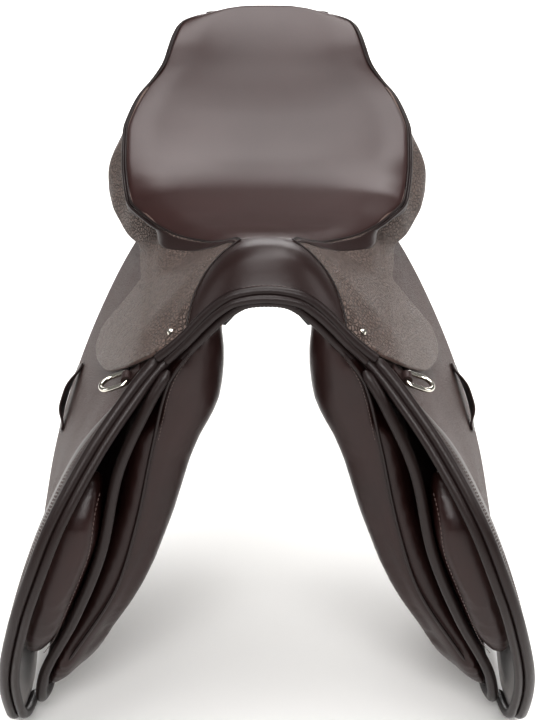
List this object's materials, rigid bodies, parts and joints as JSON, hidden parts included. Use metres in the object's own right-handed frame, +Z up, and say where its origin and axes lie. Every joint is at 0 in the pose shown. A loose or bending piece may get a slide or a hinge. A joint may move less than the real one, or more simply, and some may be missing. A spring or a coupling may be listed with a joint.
{
  "type": "english saddle",
  "caption": "Forward-cut jumping saddle: dished seat, lifting skirts and flaps, stirrup bars with catches, girth straps with sliding guards, knee blocks and stuffed panels.",
  "frame": {"origin": "on the symmetry plane, at the seat's deepest point along Y, on the line of the horse's back under the gullet", "axes": "+X to the rider's left, -Y towards the pommel, +Z up"},
  "size_m": [0.489, 0.5341, 0.5491],
  "materials": {
    "seat_leather": "smooth drum-dyed calf, satin, dark brown with a red cast",
    "smooth_leather": "smooth calf, satin, dark brown",
    "grain_leather": "printed pebble grain, low sheen, grey brown",
    "flap_leather": "fine grained bridle leather, low sheen",
    "edge_leather": "rolled and burnished edge binding",
    "panel_leather": "soft smooth calf over the stuffing",
    "strap_leather": "reinforced girth strap leather",
    "suede_lining": "raw flesh side, matt grey",
    "webbing": "woven tree webbing",
    "latex_foam": "seat foam",
    "beech": "laminated beech, varnished",
    "spring_steel": "blued spring steel",
    "plate_steel": "black enamelled steel",
    "bar_steel": "forged stainless steel",
    "nickel": "nickel plated, polished"
  },
  "bodies": {
    "saddle": {"cantle_facing": "smooth_leather", "flap_top_left": "flap_leather", "flap_top_right": "flap_leather", "girth_webs": "webbing", "gullet_plate": "plate_steel", "head_plate": "plate_steel", "knee_block_left": "panel_leather", "knee_block_right": "panel_leather", "panel_left": "panel_leather", "panel_right": "panel_leather", "panel_welts": "edge_leather", "pommel_cover": "smooth_leather", "pommel_rolls": "edge_leather", "saddle_nails": "nickel", "seat_cover": "seat_leather", "seat_facing_left": "smooth_leather", "seat_facing_right": "smooth_leather", "seat_foam": "latex_foam", "seat_web_long": "webbing", "seat_webs_cross": "webbing", "seat_welts": "edge_leather", "skirt_top_left": "grain_leather", "skirt_top_right": "grain_leather", "stirrup_bar_left": "bar_steel", "stirrup_bar_right": "bar_steel", "sweat_edges": "edge_leather", "sweat_flap_left": "smooth_leather", "sweat_flap_right": "smooth_leather", "tree_frame": "beech", "tree_rivets": "bar_steel", "tree_spring_left": "spring_steel", "tree_spring_right": "spring_steel"},
    "flap_left": {"flap_left": "flap_leather", "flap_pad_left": "smooth_leather", "flap_edge_left": "edge_leather", "keeper_left": "smooth_leather", "dee_chape_left": "strap_leather"},
    "skirt_left": {"skirt_left": "grain_leather"},
    "dee_left": {"dee_left": "nickel"},
    "bar_catch_left": {"bar_catch_left": "bar_steel"},
    "billet_left_1": {"billet_left_1": "strap_leather"},
    "billet_left_2": {"billet_left_2": "strap_leather"},
    "billet_left_3": {"billet_left_3": "strap_leather"},
    "buckle_guard_left": {"buckle_guard_left": "strap_leather"},
    "flap_right": {"flap_right": "flap_leather", "flap_pad_right": "smooth_leather", "flap_edge_right": "edge_leather", "keeper_right": "smooth_leather", "dee_chape_right": "strap_leather"},
    "skirt_right": {"skirt_right": "grain_leather"},
    "dee_right": {"dee_right": "nickel"},
    "bar_catch_right": {"bar_catch_right": "bar_steel"},
    "billet_right_1": {"billet_right_1": "strap_leather"},
    "billet_right_2": {"billet_right_2": "strap_leather"},
    "billet_right_3": {"billet_right_3": "strap_leather"},
    "buckle_guard_right": {"buckle_guard_right": "strap_leather"}
  },
  "joints": [
    {"name": "flap_left_lift", "type": "hinge", "parent": "saddle", "child": "flap_left", "pos_m": [0.10377, -0.08, 0.03], "axis": [-0.0271, -0.9947, 0.0995], "range_deg": [0, 42]},
    {"name": "skirt_left_lift", "type": "hinge", "parent": "flap_left", "child": "skirt_left", "pos_m": [0.10377, -0.08, 0.03], "axis": [-0.0271, -0.9947, 0.0995], "range_deg": [0, 28]},
    {"name": "dee_left_swing", "type": "hinge", "parent": "flap_left", "child": "dee_left", "pos_m": [0.12048, -0.202, 0.014], "axis": [0, -1, 0], "range_deg": [-20, 60]},
    {"name": "bar_catch_left_turn", "type": "hinge", "parent": "saddle", "child": "bar_catch_left", "pos_m": [0.11345, -0.0805, 0.01372], "axis": [0.8269, 0, 0.5624], "range_deg": [0, 50]},
    {"name": "billet_left_1_swing", "type": "hinge", "parent": "saddle", "child": "billet_left_1", "pos_m": [0.10638, -0.06, 0.00318], "axis": [0.8309, 0, 0.5564], "range_deg": [-3, 3]},
    {"name": "billet_left_2_swing", "type": "hinge", "parent": "saddle", "child": "billet_left_2", "pos_m": [0.10638, -0.02, 0.00318], "axis": [0.8309, 0, 0.5564], "range_deg": [-3, 3]},
    {"name": "billet_left_3_swing", "type": "hinge", "parent": "saddle", "child": "billet_left_3", "pos_m": [0.10638, 0.02, 0.00318], "axis": [0.8309, 0, 0.5564], "range_deg": [-3, 3]},
    {"name": "buckle_guard_left_slide", "type": "hinge", "parent": "saddle", "child": "buckle_guard_left", "pos_m": [-0.436, -0.02, -0.36], "axis": [0, 1, 0], "range_deg": [0, 4]},
    {"name": "flap_right_lift", "type": "hinge", "parent": "saddle", "child": "flap_right", "pos_m": [-0.10377, -0.08, 0.03], "axis": [-0.0271, 0.9947, -0.0995], "range_deg": [0, 42]},
    {"name": "skirt_right_lift", "type": "hinge", "parent": "flap_right", "child": "skirt_right", "pos_m": [-0.10377, -0.08, 0.03], "axis": [-0.0271, 0.9947, -0.0995], "range_deg": [0, 28]},
    {"name": "dee_right_swing", "type": "hinge", "parent": "flap_right", "child": "dee_right", "pos_m": [-0.12048, -0.202, 0.014], "axis": [0, 1, 0], "range_deg": [-20, 60]},
    {"name": "bar_catch_right_turn", "type": "hinge", "parent": "saddle", "child": "bar_catch_right", "pos_m": [-0.11345, -0.0805, 0.01372], "axis": [0.8269, 0, -0.5624], "range_deg": [0, 50]},
    {"name": "billet_right_1_swing", "type": "hinge", "parent": "saddle", "child": "billet_right_1", "pos_m": [-0.10638, -0.06, 0.00318], "axis": [0.8309, 0, -0.5564], "range_deg": [-3, 3]},
    {"name": "billet_right_2_swing", "type": "hinge", "parent": "saddle", "child": "billet_right_2", "pos_m": [-0.10638, -0.02, 0.00318], "axis": [0.8309, 0, -0.5564], "range_deg": [-3, 3]},
    {"name": "billet_right_3_swing", "type": "hinge", "parent": "saddle", "child": "billet_right_3", "pos_m": [-0.10638, 0.02, 0.00318], "axis": [0.8309, 0, -0.5564], "range_deg": [-3, 3]},
    {"name": "buckle_guard_right_slide", "type": "hinge", "parent": "saddle", "child": "buckle_guard_right", "pos_m": [0.436, -0.02, -0.36], "axis": [0, -1, 0], "range_deg": [0, 4]}
  ]
}
